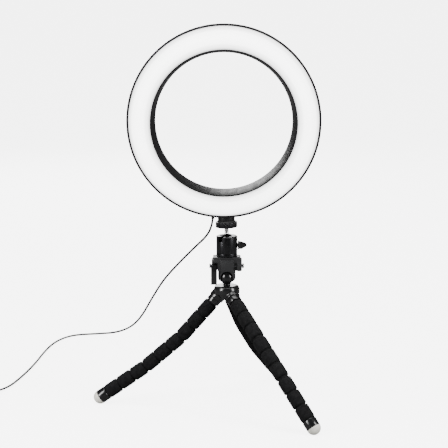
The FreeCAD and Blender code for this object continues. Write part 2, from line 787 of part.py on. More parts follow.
def lever_parts():
    """The transverse bolt through the block, its nut, and the lever that turns it."""
    half = d.block_width.value / 2
    bolt = turned("BoltTurned", [
        (0, 0),
        (d.bolt_radius, 0),
        (d.bolt_radius, d.block_width + 2.6),
        (0, d.block_width + 2.6),
    ])
    head = rod(2.3, 1.6, at(0, 0, -1.6))
    place = at(-half - 0.8, -d.bolt_setback, d.bolt_height, ALONG_X)
    node(fused("Bolt", bolt, head), "clamp_bolt", place)

    width = d.lever_width
    lever = padded("LeverPad", "YZ_Plane", [
        (width / 2, 0, width / 2 + 0.1),
        (-width / 2, 0),
        (-width / 2 - 0.4, 3 - d.lever_length),
        (1.2 - width / 2, -d.lever_length),
        (width / 2 - 1.2, -d.lever_length),
        (width / 2 + 0.4, 3 - d.lever_length),
    ], d.lever_thick)
    eye = rod(d.bolt_radius, d.lever_thick, at(turn=ALONG_X))
    place = at(-half - 0.8, -d.bolt_setback, d.bolt_height)
    node(cut("Lever", lever, eye), "clamp_lever", place)

    nut = turned("Nut", [
        (d.bolt_radius, 0),
        (2.6, 0),
        (2.6, 1.2),
        (2, 2),
        (d.bolt_radius, 2),
    ])
    node(nut, "bolt_nut", at(half + 0.2, -d.bolt_setback, d.bolt_height, ALONG_X))


def heading(azimuth, slope):
    """A unit vector that points outwards and down."""
    level = math.cos(math.radians(slope))
    turn = math.radians(azimuth)
    return Vector(level * math.cos(turn), level * math.sin(turn), -math.sin(math.radians(slope)))


def along(spot, direction):
    """A placement at a spot, with Z along a direction."""
    return Placement(spot, Rotation(Vector(0, 0, 1), direction))


def leg_bends(bends):
    """Where the three parts of a leg start, and which way each runs."""
    azimuth, slope = bends[0]
    first = heading(azimuth, slope)
    level = heading(azimuth, 0)
    spot = level * d.lobe_offset.value + Vector(0, 0, d.hub_height.value)
    spot = spot + first * (d.collar_end + d.groove_width / 2).value
    long = (d.bead_pitch * d.beads_per_part).value
    places = [(spot, first)]
    for azimuth, slope in bends[1:]:
        spot = spot + places[-1][1] * long
        places.append((spot, heading(azimuth, slope)))
    return places


def leg_places(name):
    """The bends of one leg. The slope of its lowest part brings the foot to its height."""
    upper, middle, azimuth = LEGS[name]
    spot = leg_bends((upper, middle, middle))[2][0]
    reach = d.bead_pitch * d.beads_per_part + d.ferrule_length + 0.1
    drop = (spot.z - d.foot_height.value) / reach.value
    slope = math.degrees(math.asin(drop))
    return leg_bends((upper, middle, (azimuth, slope)))


def bead_outline():
    """One part of a foam sleeve: beads with a groove between each two."""
    points = [(d.core_radius, d.groove_width / 2)]
    beads = int(d.beads_per_part.value)
    for i in range(beads):
        low = d.bead_pitch * i + d.groove_width / 2
        high = d.bead_pitch * (i + 1) - d.groove_width / 2
        first = d.bead_chamfer if i else d.end_chamfer
        last = d.bead_chamfer if i < beads - 1 else d.end_chamfer
        if i:
            points.append((d.groove_radius, low))
        points += [
            (d.foam_radius - first, low),
            (d.foam_radius, low + first),
            (d.foam_radius, high - last),
            (d.foam_radius - last, high),
        ]
        if i < beads - 1:
            points.append((d.groove_radius, high))
    points.append((d.core_radius, d.bead_pitch * beads - d.groove_width / 2))
    return points


def hub_parts():
    """The lower ball on the glossy hub, with a shoulder and a collar for each leg."""
    low = root(d.joint_radius * d.joint_radius - d.neck_radius * d.neck_radius)
    ball_foot = d.joint_height - d.hub_top
    joint = turned("JointBall", [
        (0, -ball_foot - 3),
        (d.neck_radius, -ball_foot - 3),
        (d.neck_radius, -low, d.joint_radius),
        (0, d.joint_radius),
    ])
    node(joint, "hub_ball", at(0, 0, d.joint_height))

    crown = turned("Crown", [
        (0, d.crown_bottom),
        (d.crown_radius - 4, d.crown_bottom),
        (d.crown_radius, d.crown_bottom + 5),
        (d.crown_radius, d.hub_top - 3.4),
        (d.crown_radius - 1, d.hub_top - 1),
        (d.crown_radius - 3, d.hub_top),
        (0, d.hub_top),
    ])
    pieces = [crown]
    hollows = [rod(d.neck_radius, 6, at(0, 0, d.hub_top - 3))]
    collars = []
    for name in LEGS:
        azimuth, slope = LEGS[name][0]
        way = heading(azimuth, slope)
        spot = heading(azimuth, 0) * d.lobe_offset.value + Vector(0, 0, d.hub_height.value)
        pieces.append(ball(d.lobe_radius, along(spot, way)))
        pieces.append(rod(d.lobe_radius, d.collar_start, along(spot, way)))
        collar = turned("CollarTurned", [
            (0, d.collar_start),
            (d.collar_radius, d.collar_start),
            (d.collar_radius, d.collar_end),
            (0, d.collar_end),
        ])
        seat = ball(d.core_radius + d.running_fit,
                    at(0, 0, d.collar_end + d.groove_width / 2))
        one = cut("Collar", collar, seat, ball(d.lobe_radius))
        one.Placement = along(spot, way)
        collars.append(one)
    node(cut("Hub", fused("HubBody", *pieces), *hollows), "hub")
    node(group("Collars", *collars), "leg_collars")


def leg_parts():
    """Three flexible legs, each of three bending parts, an end ferrule and a rubber foot."""
    length = d.bead_pitch * d.beads_per_part
    cup = d.core_radius + d.running_fit
    for name in LEGS:
        for part_name, (spot, way) in zip(LEG_PARTS, leg_places(name)):
            place = along(spot, way)
            last = part_name == LEG_PARTS[-1]
            sleeve = turned("Sleeve", bead_outline())
            node(sleeve, f"{name}_{part_name}_sleeve", place)
            end = length + d.core_grip if last else length - d.core_gap
            core = turned("CoreTurned", [
                (0, -d.core_radius, d.core_radius),
                (d.core_radius, 0),
                (d.core_radius, end),
                (0, end),
            ])
            if not last:
                core = cut("Core", core, ball(cup, at(0, 0, length)))
            node(core, f"{name}_{part_name}_core", place)
        start = length - d.groove_width / 2 + 0.1
        finish = length + d.ferrule_length
        ferrule = turned("Ferrule", [
            (d.core_radius, start),
            (d.ferrule_radius, start),
            (d.ferrule_radius, finish),
            (d.spigot_radius, finish),
            (d.spigot_radius, finish - d.spigot_length),
            (d.core_radius, finish - d.spigot_length),
        ])
        node(ferrule, f"{name}_ferrule", place)
        foot = turned("FootTurned", [
            (0, finish + 0.1 + d.foot_radius),
            (0, finish - d.spigot_length),
            (d.spigot_radius, finish - d.spigot_length),
            (d.spigot_radius, finish),
            (d.foot_radius, finish + 0.1, d.foot_radius),
        ])
        foot.Placement = place
        toe = spot + way * finish.value
        above = block(40, 40, 40, at(toe.x, toe.y, 0))
        node(common("Foot", foot, above), f"{name}_foot")


def rounded_path(points):
    """A wire of straight runs joined by arcs as large as the runs allow, and the arcs' radii."""
    edges = []
    radii = []
    start = points[0]
    for before, corner, after in zip(points, points[1:], points[2:]):
        back = (before - corner).normalize()
        ahead = (after - corner).normalize()
        half_turn = (math.pi - back.getAngle(ahead)) / 2
        setback = 0.45 * min(before.distanceToPoint(corner), after.distanceToPoint(corner))
        radius = setback / math.tan(half_turn)
        bisector = (back + ahead).normalize()
        depth = radius / math.cos(half_turn) - radius
        edges.append(Part.LineSegment(start, corner + back * setback).toShape())
        arc = Part.Arc(corner + back * setback, corner + bisector * depth,
                       corner + ahead * setback)
        edges.append(arc.toShape())
        radii.append(radius)
        start = corner + ahead * setback
    edges.append(Part.LineSegment(start, points[-1]).toShape())
    return Part.Wire(edges), radii


def tube(name, route):
    """A plain tube of the lead along a route given from the stack axis."""
    points = [Vector(*p) for p in route]
    path, radii = rounded_path(points)
    radius = d.lead_radius.value
    circle = Part.Circle(points[0], points[1] - points[0], radius)
    profile = Part.Wire([circle.toShape()])
    solid = path.makePipeShell([profile], True, True)
    section = math.pi * radius ** 2
    print(f"{name}: length {path.Length:.0f} mm, radii {[round(r) for r in radii]}, "
          f"volume {solid.Volume / (section * path.Length):.4f} of section times length")
    feature = doc.addObject("Part::Feature", name)
    feature.Shape = solid
    return feature


def level_place(spot, azimuth):
    """A placement with X along a heading in the plan."""
    return Placement(Vector(*spot), Rotation(Vector(0, 0, 1), number(azimuth)))


def lead_parts():
    """The power lead: its free run, its coil and its plug."""
    node(tube("LeadRun", LEAD_ROUTE), "cord_run")
    ends = group("LeadEnds", tube("LeadToCoil", LEAD_TO_COIL), tube("LeadToPlug", LEAD_TO_PLUG))
    node(ends, "cord_ends")
    coil = doc.addObject("Part::Torus", "Coil")
    bind(coil, Radius1=d.coil_radius, Radius2=d.bundle_radius)
    node(coil, "cord_coil", at(d.coil_x, d.coil_y, d.bundle_radius))
    coiled = 2 * math.pi * d.coil_radius.value * d.coil_turns.value
    print(f"Coil: {coiled:.0f} mm of lead")

    # The plug: a moulded grip with a strain relief, and the folded metal sleeve in front of it.
    place = level_place(LEAD_TO_PLUG[-1], d.plug_azimuth)
    middle = LEAD_TO_PLUG[-1][2]
    grip = block(d.plug_length, d.plug_width, d.plug_height,
                 at(d.relief_length + d.plug_length / 2, 0, -middle))
    relief = rod(d.relief_radius, d.relief_length, at(turn=ALONG_X))
    sleeve_x = d.relief_length + d.plug_length + d.usb_length / 2
    tongue = block(d.usb_length - 1, d.usb_width - 3, 1.2, at(sleeve_x - 0.5, 0, -0.1))
    node(fused("Grip", grip, relief, tongue), "usb_plug", place)
    sleeve = block(d.usb_length, d.usb_width, d.usb_height,
                   at(sleeve_x, 0, -d.usb_height / 2))
    wall = d.usb_wall
    inside = block(d.usb_length, d.usb_width - 2 * number(wall), d.usb_height - 2 * number(wall),
                   at(sleeve_x, 0, wall - d.usb_height / 2))
    node(cut("Sleeve", sleeve, inside), "usb_sleeve", place)


def control_parts():
    """The in-line controller: two shells, a small circuit board and three buttons."""
    place = level_place(LEAD_ROUTE[-1], d.control_azimuth)
    middle = LEAD_ROUTE[-1][2]
    centre = d.relief_length + d.control_length / 2
    split = d.control_height / 2
    wall = d.control_wall
    cavity = block(d.control_length - 2 * number(wall), d.control_width - 2 * number(wall),
                   d.control_height - 2 * number(wall), at(centre, 0, wall - middle))

    def half(name, low, *more):
        """One shell of the controller, from a height up."""
        shell = block(d.control_length, d.control_width, split, at(centre, 0, low - middle))
        return cut(name, fused(name + "Body", shell, *more) if more else shell, cavity)

    near = rod(d.relief_radius, d.relief_length, at(turn=ALONG_X))
    far = rod(d.relief_radius, d.relief_length,
              at(d.relief_length + d.control_length, turn=ALONG_X))
    node(half("ControlBase", 0, near, far), "controller_base", place)
    button_x = [centre + d.button_pitch * i for i in (-1, 0, 1)]
    holes = [rod(d.button_radius + 0.15, d.control_height, at(x, 0, 0)) for x in button_x]
    node(cut("ControlTop", half("ControlCover", split), *holes), "controller_top", place)
    board_low = wall + 1 - middle
    board = block(d.control_length - 8, d.control_width - 5, 1.2, at(centre, 0, board_low))
    node(board, "controller_board", place)
    base = board_low + 1.2 + 1
    top = d.control_height + d.button_rise - middle
    for name, x in zip(("left", "middle", "right"), button_x):
        one = rod(d.button_radius, top - base, at(x, 0, base))
        node(one, f"{name}_button", place)


for build in (ring_parts, mount_parts, ball_head_parts, block_parts, lever_parts, hub_parts,
              leg_parts, lead_parts, control_parts):
    build()
doc.recompute()
for thing in doc.Objects:
    if "Invalid" in thing.State or "Error" in thing.State:
        raise SystemExit(f"{thing.Name} ({thing.Label}) failed: {thing.State}")
os.makedirs("parts", exist_ok=True)
for part in parts:
    shape = part.Shape
    if shape.isNull() or not shape.isValid():
        raise SystemExit(f"{part.Label} is not a valid shape")
    shape.exportStep(f"parts/{part.Label}.step")
    print(f"{part.Label}: {len(shape.Solids)} solid(s), {shape.Volume:.1f} mm3")
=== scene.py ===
"""Finished look of a ring light on a flexible desk stand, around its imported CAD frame. Metres."""
import json
import math

import bmesh
import bpy
from mathutils import Matrix, Vector, noise


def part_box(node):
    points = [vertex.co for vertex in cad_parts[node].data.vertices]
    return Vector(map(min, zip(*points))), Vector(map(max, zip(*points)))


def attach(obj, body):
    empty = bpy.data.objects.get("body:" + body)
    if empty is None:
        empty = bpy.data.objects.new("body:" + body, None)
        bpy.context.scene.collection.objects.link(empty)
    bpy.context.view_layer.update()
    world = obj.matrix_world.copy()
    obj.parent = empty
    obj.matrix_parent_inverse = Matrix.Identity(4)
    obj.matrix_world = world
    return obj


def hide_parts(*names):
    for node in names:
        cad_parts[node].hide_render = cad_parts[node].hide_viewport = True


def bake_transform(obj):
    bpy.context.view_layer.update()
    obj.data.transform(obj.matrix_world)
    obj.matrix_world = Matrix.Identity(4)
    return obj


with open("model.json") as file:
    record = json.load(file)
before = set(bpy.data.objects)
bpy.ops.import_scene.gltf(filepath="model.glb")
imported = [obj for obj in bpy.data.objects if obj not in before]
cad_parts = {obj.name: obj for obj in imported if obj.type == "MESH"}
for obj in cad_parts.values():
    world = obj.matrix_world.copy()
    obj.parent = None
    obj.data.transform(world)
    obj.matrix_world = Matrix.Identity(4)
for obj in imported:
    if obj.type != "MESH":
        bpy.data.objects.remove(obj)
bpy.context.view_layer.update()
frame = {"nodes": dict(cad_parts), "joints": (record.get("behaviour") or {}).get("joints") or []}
nodes = frame["nodes"]

MM = 0.001


def middle(node):
    """The middle of a CAD node's box."""
    low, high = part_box(node)
    return (low + high) / 2


def joint_place(name):
    """Where a hinge of the frame turns."""
    return Vector(next(j["pos_m"] for j in frame["joints"] if j["name"] == name))


def link(obj):
    """Put an object in the scene, and hand it back."""
    bpy.context.scene.collection.objects.link(obj)
    return obj


# The stand's upright axis, which the barrel sits on.
AXIS = middle("barrel")
STACK = Vector((AXIS.x, AXIS.y, 0))
UP = Vector((0, 0, 1))


# Camera, floor and light -------------------------------------------------------------------------

# The camera's place from the stand's axis, how far it looks down, and its lens in millimetres.
CAMERA_BACK = 1.800
CAMERA_HEIGHT = 0.525
CAMERA_SIDE = -0.0029
CAMERA_PITCH = math.radians(10.4)
LENS = 142.3
SENSOR = 36
# The world's light on the object and its brightness to the eye, and the same two for the floor.
FILL = 0.1
BACKDROP = 6
FLOOR_BOUNCE = 0.2
FLOOR_GLOW = 5.5
FLOOR_HALF = 30
# Each soft box: its name, place, width and height, power in watts and what it points at.
SOFT_BOXES = (
    ("left_softbox", (-1.25, -0.95, 0.75), (0.45, 1.1), 34, (0, 0, 0.2)),
    ("right_softbox", (1.3, -0.75, 0.7), (0.4, 1.0), 26, (0, 0, 0.2)),
    ("top_softbox", (0, -0.1, 1.6), (1.2, 0.8), 20, (0, 0, 0)),
    ("rear_softbox", (-0.3, 1.6, 0.9), (0.8, 1.0), 16, (0, 0, 0.2)),
)


def make_camera():
    """A long lens in front of the stand, looking a little down."""
    data = bpy.data.cameras.new("camera")
    data.lens = LENS
    data.sensor_width = SENSOR
    data.clip_end = 20
    camera = link(bpy.data.objects.new("camera", data))
    camera.location = STACK + Vector((CAMERA_SIDE, -CAMERA_BACK, CAMERA_HEIGHT))
    camera.rotation_euler = (math.pi / 2 - CAMERA_PITCH, 0, 0)
    bpy.context.scene.camera = camera


def make_light(name, place, size, power, target):
    """A soft box that points at a target."""
    data = bpy.data.lights.new(name, "AREA")
    data.shape = "RECTANGLE"
    data.size, data.size_y = size
    data.energy = power
    lamp = link(bpy.data.objects.new(name, data))
    lamp.location = place
    lamp.rotation_euler = (Vector(target) - Vector(place)).to_track_quat("-Z", "Y").to_euler()


def for_the_eye(tree, seen, unseen):
    """A shader that is one thing in front of the camera and another as a source of light."""
    ray = tree.nodes.new("ShaderNodeLightPath")
    either = tree.nodes.new("ShaderNodeMixShader")
    tree.links.new(ray.outputs["Is Camera Ray"], either.inputs["Fac"])
    tree.links.new(unseen, either.inputs[1])
    tree.links.new(seen, either.inputs[2])
    return either.outputs["Shader"]


def make_world():
    """A backdrop that is bright to look at and gives little light."""
    world = bpy.data.worlds.new("studio")
    world.use_nodes = True
    tree = world.node_tree
    dim = tree.nodes["Background"]
    dim.inputs["Color"].default_value = (1, 1, 1, 1)
    dim.inputs["Strength"].default_value = FILL
    bright = tree.nodes.new("ShaderNodeBackground")
    bright.inputs["Strength"].default_value = BACKDROP
    tree.links.new(for_the_eye(tree, bright.outputs["Background"], dim.outputs["Background"]),
                   tree.nodes["World Output"].inputs["Surface"])
    bpy.context.scene.world = world


def make_floor():
    """White paper that is bright to look at and throws little light back."""
    bm = bmesh.new()
    bmesh.ops.create_grid(bm, x_segments=1, y_segments=1, size=FLOOR_HALF)
    mesh = bpy.data.meshes.new("floor")
    bm.to_mesh(mesh)
    bm.free()
    floor = link(bpy.data.objects.new("floor", mesh))
    paper = bpy.data.materials.new("studio_paper")
    paper.use_nodes = True
    tree = paper.node_tree
    matt = tree.nodes["Principled BSDF"]
    matt.inputs["Base Color"].default_value = (0.85, 0.85, 0.85, 1)
    matt.inputs["Roughness"].default_value = 0.9
    matt.inputs["Specular IOR Level"].default_value = 0.1
    glow = tree.nodes.new("ShaderNodeEmission")
    glow.inputs["Strength"].default_value = FLOOR_GLOW
    lit = tree.nodes.new("ShaderNodeAddShader")
    tree.links.new(matt.outputs["BSDF"], lit.inputs[0])
    tree.links.new(glow.outputs["Emission"], lit.inputs[1])
    dull = tree.nodes.new("ShaderNodeBsdfDiffuse")
    dull.inputs["Color"].default_value = (FLOOR_BOUNCE, FLOOR_BOUNCE, FLOOR_BOUNCE, 1)
    tree.links.new(for_the_eye(tree, lit.outputs["Shader"], dull.outputs["BSDF"]),
                   tree.nodes["Material Output"].inputs["Surface"])
    mesh.materials.append(paper)


make_camera()
make_world()
make_floor()
for soft_box in SOFT_BOXES:
    make_light(*soft_box)


# Power lead --------------------------------------------------------------------------------------

LEAD_DIAMETER = 2.3 * MM
SPLINE_STEPS = 6
# The lead's route in millimetres from the stack axis and the floor, as in the CAD.
LEAD_RUN = (
    (-14.60, -7.9, 200.91),
    (-15.50, -7.9, 192.97),
    (-21.5, -2.2, 181.5),
    (-32, 8, 170),
    (-50.5, 26.5, 148),
    (-68, 50.5, 124.5),
    (-83, 92, 93),
    (-94, 140, 66),
    (-105, 192, 43),
    (-118, 243, 23.5),
    (-136, 289, 7.5),
    (-160, 309.5, 1.2),
    (-189, 303, 1.2),
    (-206, 271, 1.2),
    (-214, 225, 1.2),
    (-219, 171, 1.2),
    (-227, 118, 1.2),
    (-238, 66, 1.2),
    (-253.02, 35.95, 4.5),
    (-257.5, 18, 4.5),
)
INSIDE_CONTROLLER = ((-265.7, -15, 4.5),)
LEAD_TO_COIL = (
    (-273.9, -48, 4.5),
    (-276.4, -58, 4.5),
    (-284, -68.5, 3.8),
)
LEAD_TO_PLUG = (
    (-319, -40, 4.0),
    (-315.64, -25.49, 4.0),
    (-306, -14, 4.0),
)
COIL_MIDDLE = (-303, -56)
COIL_RADIUS = 13.8
# Each turn lies beside or on the last: how far out and how high its middle is, in millimetres.
COIL_LAYERS = (
    (-1.2, 1.65), (1.2, 1.65), (2.4, 3.7), (0, 3.7), (-2.4, 3.7), (-1.2, 5.8), (1.2, 5.8),
    (0, 7.6),
)
POINTS_PER_TURN = 16
# The lead joins the coil at one angle and leaves it at another, in degrees. The last of its
# turns is only a part of one.
COIL_START = -75
COIL_END = COIL_START - 360 * (len(COIL_LAYERS) - 1) - 100
# How far into its first turn the lead starts to slip to its next place, and over what angle.
SLIP_START = 310
SLIP = 40


def coil_points():
    """The turns of the coil. Each slips to the next place over a ninth of a turn, a little sooner
    each time, so that no two meet."""
    points = []
    steps = round((COIL_START - COIL_END) / 360 * POINTS_PER_TURN)
    for i in range(steps + 1):
        n, part = divmod(i, POINTS_PER_TURN)
        here = Vector(COIL_LAYERS[min(n, len(COIL_LAYERS) - 1)])
        following = Vector(COIL_LAYERS[min(n + 1, len(COIL_LAYERS) - 1)])
        begins = SLIP_START - n * SLIP
        share = min(max((360 * part / POINTS_PER_TURN - begins) / SLIP, 0), 1)
        out, high = here.lerp(following, share * share * (3 - 2 * share))
        angle = math.radians(COIL_START - 360 * i / POINTS_PER_TURN)
        radius = COIL_RADIUS + out
        points.append((COIL_MIDDLE[0] + radius * math.cos(angle),
                       COIL_MIDDLE[1] + radius * math.sin(angle), high))
    return points


def lead_spline():
    """The whole lead, as one smooth spline with the route's points as its control points."""
    route = LEAD_RUN + INSIDE_CONTROLLER + LEAD_TO_COIL + tuple(coil_points()) + LEAD_TO_PLUG
    data = bpy.data.curves.new("lead_line", "CURVE")
    data.dimensions = "3D"
    spline = data.splines.new("NURBS")
    spline.points.add(len(route) - 1)
    for point, place in zip(spline.points, route):
        point.co = (*(STACK + Vector(place) * MM), 1)
    spline.order_u = 3
    spline.use_endpoint_u = True
    data.resolution_u = SPLINE_STEPS
    return data


def make_lead(on_it):
    """The lead as a round tube along its spline."""
    line = lead_spline()
    thread = link(bpy.data.objects.new("lead_line", line))
    bare = bpy.data.meshes.new_from_object(thread)
    line.bevel_depth = LEAD_DIAMETER / 2
    line.bevel_resolution = 3
    line.use_fill_caps = True
    bpy.context.view_layer.update()
    mesh = bpy.data.meshes.new_from_object(thread)
    bpy.data.objects.remove(thread)
    mesh.name = "power_lead"
    mesh.materials.clear()
    mesh.materials.append(rubber("lead_rubber", (0.018, 0.018, 0.018), 0.42, 900))
    for face in mesh.polygons:
        face.use_smooth = True
    lead = link(bpy.data.objects.new("power_lead", mesh))
    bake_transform(lead)
    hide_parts("cord_run", "cord_ends", "cord_coil")


# Materials ---------------------------------------------------------------------------------------

class Paint:
    """A principled material whose colour, roughness and relief come from nodes."""

    def __init__(self, name, rough=0.5, metal=0.0, **sockets):
        self.material = bpy.data.materials.new(name)
        self.material.use_nodes = True
        self.tree = self.material.node_tree
        self.shader = self.tree.nodes["Principled BSDF"]
        self.set("Roughness", rough)
        self.set("Metallic", metal)
        for socket, value in sockets.items():
            self.set(socket.replace("_", " "), value)
        self.place = self.add("ShaderNodeTexCoord").outputs["Object"]
        self.relief = None

    def set(self, socket, value):
        self.shader.inputs[socket].default_value = value

    def add(self, kind, **values):
        node = self.tree.nodes.new(kind)
        for name, value in values.items():
            setattr(node, name, value)
        return node

    def wire(self, out, into):
        self.tree.links.new(out, into)

    def noise(self, scale, detail=4, rough=0.5, stretch=None):
        """A noise over the piece, finer for a larger scale."""
        node = self.add("ShaderNodeTexNoise")
        node.inputs["Scale"].default_value = scale
        node.inputs["Detail"].default_value = detail
        node.inputs["Roughness"].default_value = rough
        place = self.place
        if stretch:
            mapping = self.add("ShaderNodeMapping")
            mapping.inputs["Scale"].default_value = stretch
            self.wire(place, mapping.inputs["Vector"])
            place = mapping.outputs["Vector"]
        self.wire(place, node.inputs["Vector"])
        return node.outputs["Fac"]

    def ramp(self, value, low, high, start=0.35, end=0.65):
        """A value spread between two colours."""
        node = self.add("ShaderNodeValToRGB")
        for element, at, colour in zip(node.color_ramp.elements, (start, end), (low, high)):
            element.position = at
            element.color = (*colour, 1)
        self.wire(value, node.inputs["Fac"])
        return node.outputs["Color"]

    def span(self, value, low, high):
        """A value spread between two numbers."""
        node = self.add("ShaderNodeMapRange")
        node.inputs["To Min"].default_value = low
        node.inputs["To Max"].default_value = high
        self.wire(value, node.inputs["Value"])
        return node.outputs["Result"]

    def colour(self, value, low, high, start=0.35, end=0.65):
        self.wire(self.ramp(value, low, high, start, end), self.shader.inputs["Base Color"])

    def roughness(self, value, low, high):
        self.wire(self.span(value, low, high), self.shader.inputs["Roughness"])

    def bump(self, value, depth, strength=1.0):
        """Relief of a depth in metres, over any relief already there."""
        node = self.add("ShaderNodeBump")
        node.inputs["Strength"].default_value = strength
        node.inputs["Distance"].default_value = depth
        self.wire(value, node.inputs["Height"])
        if self.relief:
            self.wire(self.relief, node.inputs["Normal"])
        self.relief = node.outputs["Normal"]
        self.wire(self.relief, self.shader.inputs["Normal"])


def darker(colour, share):
    """A colour times a share, which lightens it when the share is over one."""
    return tuple(c * share for c in colour)


def rubber(name, colour, rough, scale):
    """Rubber or soft plastic: fine grain, faint dust."""
    paint = Paint(name, rough)
    paint.colour(paint.noise(scale * 0.2), darker(colour, 0.85), darker(colour, 1.25))
    paint.roughness(paint.noise(scale * 0.5), rough - 0.07, rough + 0.1)
    paint.bump(paint.noise(scale * 4, 2), 0.00004)
    return paint.material


def moulded(name, colour, rough, shine=0.5):
    """Moulded plastic: spark-eroded grain, slow changes of tone."""
    paint = Paint(name, rough, Specular_IOR_Level=shine)
    paint.colour(paint.noise(35), darker(colour, 0.85), darker(colour, 1.25))
    paint.roughness(paint.noise(120), rough - 0.05, rough + 0.07)
    paint.bump(paint.noise(2600, 3, 0.6), 0.00005)
    return paint.material


def glossy(name, colour):
    """Polished black plastic: faint orange peel and fine hairlines."""
    paint = Paint(name, 0.2, Coat_Weight=0.25, Coat_Roughness=0.12)
    paint.colour(paint.noise(60), darker(colour, 0.8), darker(colour, 1.3))
    paint.roughness(paint.noise(420, 5, 0.7), 0.17, 0.3)
    paint.bump(paint.noise(240, 2), 0.00005)
    return paint.material


def metal(name, colour, rough, stretch=(1, 1, 1)):
    """Turned or brushed metal: grain drawn out along the cut."""
    paint = Paint(name, rough, 1.0)
    paint.colour(paint.noise(180, stretch=stretch), darker(colour, 0.8), colour)
    paint.roughness(paint.noise(900, stretch=stretch), rough - 0.06, rough + 0.12)
    paint.bump(paint.noise(1800, stretch=stretch), 0.00002)
    return paint.material


def anodised(name):
    """Black anodised aluminium, satin, with a faint grain."""
    paint = Paint(name, 0.26, 1.0)
    paint.colour(paint.noise(500, stretch=(1, 1, 0.3)), (0.03, 0.03, 0.032), (0.05, 0.05, 0.053))
    paint.roughness(paint.noise(1500, 3, 0.6, stretch=(1, 1, 0.3)), 0.22, 0.34)
    paint.bump(paint.noise(3000, 2), 0.00001)
    return paint.material


# The black of the ball fades to the bare steel of its stem between these heights over its middle.
BLACK_BELOW = 5.9 * MM
STEEL_ABOVE = 6.6 * MM
# Painted glow on the diffuser, standing in for its light and shade: its strength, and the share of
# it at places from its inner edge, 0, to its outer edge, 1. The low shares at both edges are
# painted shade.
GLOW = 5.5
RING_INSIDE = 0.074
RING_OUTSIDE = 0.0975
PAINTED_GLOW_BAND = ((0, 0.1), (0.18, 0.62), (0.32, 0.95), (0.55, 1), (0.78, 0.9), (0.92, 0.45), (1, 0.12))


def ball_and_stem():
    """A blackened ball on a bare steel stem, parted by height."""
    paint = Paint("stem_steel", 0.22, 1.0)
    height = paint.add("ShaderNodeSeparateXYZ")
    paint.wire(paint.place, height.inputs["Vector"])
    above = paint.add("ShaderNodeMapRange")
    above.inputs["From Min"].default_value = joint_place("ring_tilt").z + BLACK_BELOW
    above.inputs["From Max"].default_value = joint_place("ring_tilt").z + STEEL_ABOVE
    paint.wire(height.outputs["Z"], above.inputs["Value"])
    paint.colour(above.outputs["Result"], (0.02, 0.02, 0.021), (0.62, 0.62, 0.63), 0, 1)
    paint.roughness(paint.noise(900, stretch=(1, 1, 4)), 0.16, 0.3)
    paint.bump(paint.noise(1800, stretch=(1, 1, 4)), 0.00001)
    return paint.material


def painted_glow_diffuser():
    """The diffuser: satin opal plastic over the diodes, with a painted glow that is brightest along
    the middle of its band and painted shade towards both its edges.
    """
    paint = Paint("opal_diffuser_painted_glow", 0.42, Specular_IOR_Level=0.3, Emission_Strength=GLOW)
    across = paint.add("ShaderNodeVectorMath", operation="SUBTRACT")
    across.inputs[1].default_value = middle("back_shell")
    paint.wire(paint.place, across.inputs[0])
    flat = paint.add("ShaderNodeVectorMath", operation="MULTIPLY")
    flat.inputs[1].default_value = (1, 0, 1)
    paint.wire(across.outputs["Vector"], flat.inputs[0])
    radius = paint.add("ShaderNodeVectorMath", operation="LENGTH")
    paint.wire(flat.outputs["Vector"], radius.inputs[0])
    spread = paint.add("ShaderNodeMapRange")
    spread.inputs["From Min"].default_value = RING_INSIDE
    spread.inputs["From Max"].default_value = RING_OUTSIDE
    paint.wire(radius.outputs["Value"], spread.inputs["Value"])
    painted_glow_band = paint.add("ShaderNodeValToRGB")
    painted_glow_band.color_ramp.interpolation = "EASE"
    for place, share in PAINTED_GLOW_BAND[1:-1]:
        painted_glow_band.color_ramp.elements.new(place)
    for element, (place, share) in zip(painted_glow_band.color_ramp.elements, PAINTED_GLOW_BAND):
        element.position = place
        element.color = (share, share, share, 1)
    paint.wire(spread.outputs["Result"], painted_glow_band.inputs["Fac"])
    # Painted glow: the band's shares light the diffuser from within, with painted shade towards its
    # inner and outer edges.
    paint.wire(painted_glow_band.outputs["Color"], paint.shader.inputs["Emission Color"])
    paint.colour(paint.noise(14, 2), (0.86, 0.86, 0.86), (0.9, 0.9, 0.895))
    paint.roughness(paint.noise(60), 0.36, 0.47)
    paint.bump(paint.noise(1800, 2), 0.00002)
    return paint.material


def foam():
    """Black foam of the legs: fine open cells, a dry bloom on the high places."""
    paint = Paint("leg_foam", 0.9, Sheen_Weight=0.02, Sheen_Roughness=0.6,
                  Specular_IOR_Level=0.08)
    cells = paint.add("ShaderNodeTexVoronoi", feature="F1")
    cells.inputs["Scale"].default_value = 1500
    paint.wire(paint.place, cells.inputs["Vector"])
    paint.colour(paint.noise(300, 6, 0.7), (0.004, 0.004, 0.0043), (0.011, 0.011, 0.0115))
    paint.roughness(paint.noise(500), 0.8, 0.97)
    paint.bump(paint.noise(190, 5, 0.65), 0.0005, 0.6)
    paint.bump(cells.outputs["Distance"], 0.0003, 0.7)
    return paint.material


# Mesh tools --------------------------------------------------------------------------------------

# Corners of a CAD mesh nearer than this are one corner.
MERGE = 2e-6


def soften(bm, width, angle, segments):
    """Round off every edge that is sharper than an angle."""
    limit = math.radians(angle)
    sharp = [e for e in bm.edges if len(e.link_faces) == 2 and e.calc_face_angle() > limit]
    bmesh.ops.bevel(bm, geom=sharp, offset=width, offset_type="OFFSET", segments=segments,
                    profile=0.5, affect="EDGES", clamp_overlap=True, material=-1)


